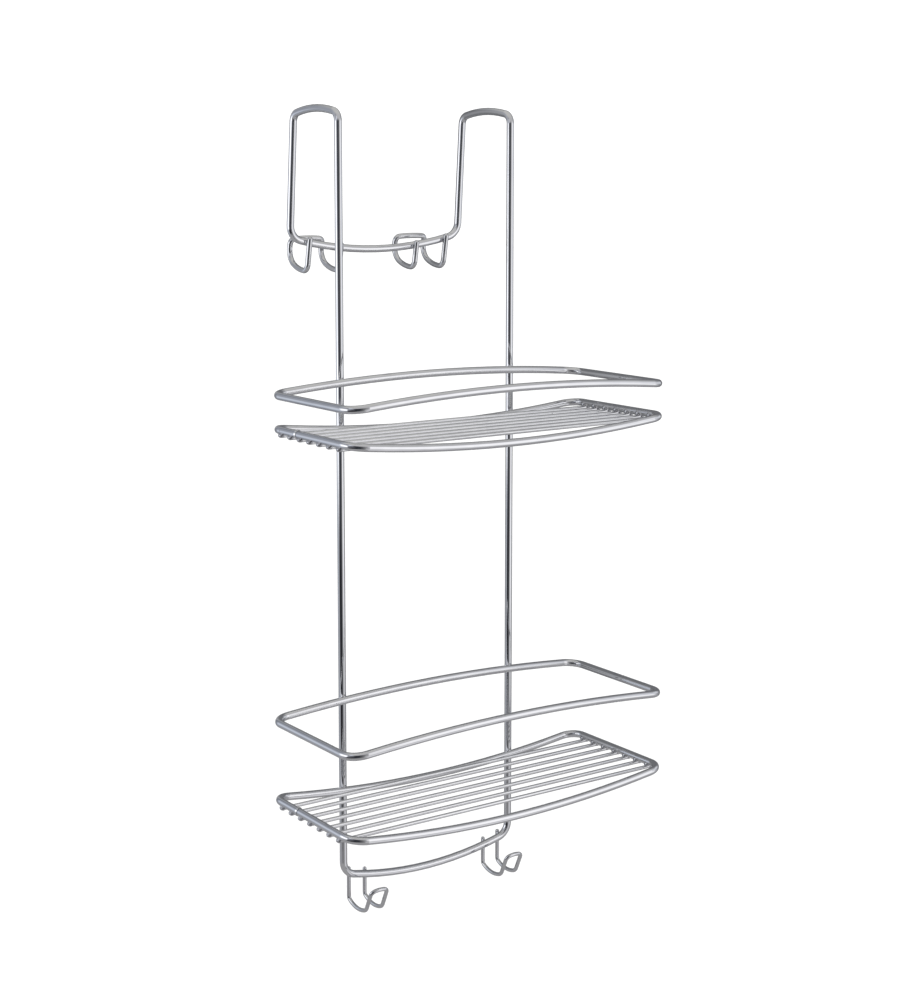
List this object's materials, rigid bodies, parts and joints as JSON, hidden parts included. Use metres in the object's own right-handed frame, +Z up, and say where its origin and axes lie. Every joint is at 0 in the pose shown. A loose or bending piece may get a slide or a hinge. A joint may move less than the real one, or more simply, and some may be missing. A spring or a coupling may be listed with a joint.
{
  "type": "shower caddy",
  "caption": "Tiered wire caddy that hangs over a shower screen on its bent frame, with railed wire-floor shelves and double-wire hooks front and back.",
  "frame": {"origin": "under the crown of the hanging bridges, where the caddy rests on the screen's top edge, midway between the two bridges and between the uprights and the tops of the rear legs", "axes": "+X along the shelves to the user's right, -Y towards the user, +Y behind the screen, +Z up"},
  "size_m": [0.3, 0.2293, 0.637],
  "materials": {
    "main_wire": "satin plated steel wire",
    "floor_wire": "satin plated steel wire",
    "hook_wire": "satin plated steel wire"
  },
  "bodies": {
    "root": {"hanging_frame": "main_wire", "upper_guard_rail": "main_wire", "upper_shelf_rim": "main_wire", "lower_guard_rail": "main_wire", "lower_shelf_rim": "main_wire", "upper_floor_wire_1": "floor_wire", "upper_floor_wire_2": "floor_wire", "upper_floor_wire_3": "floor_wire", "upper_floor_wire_4": "floor_wire", "upper_floor_wire_5": "floor_wire", "upper_floor_wire_6": "floor_wire", "upper_floor_wire_7": "floor_wire", "lower_floor_wire_1": "floor_wire", "lower_floor_wire_2": "floor_wire", "lower_floor_wire_3": "floor_wire", "lower_floor_wire_4": "floor_wire", "lower_floor_wire_5": "floor_wire", "lower_floor_wire_6": "floor_wire", "lower_floor_wire_7": "floor_wire", "rear_hook_left": "hook_wire", "rear_hook_right": "hook_wire", "lower_hook_left": "hook_wire", "lower_hook_right": "hook_wire"}
  },
  "joints": []
}
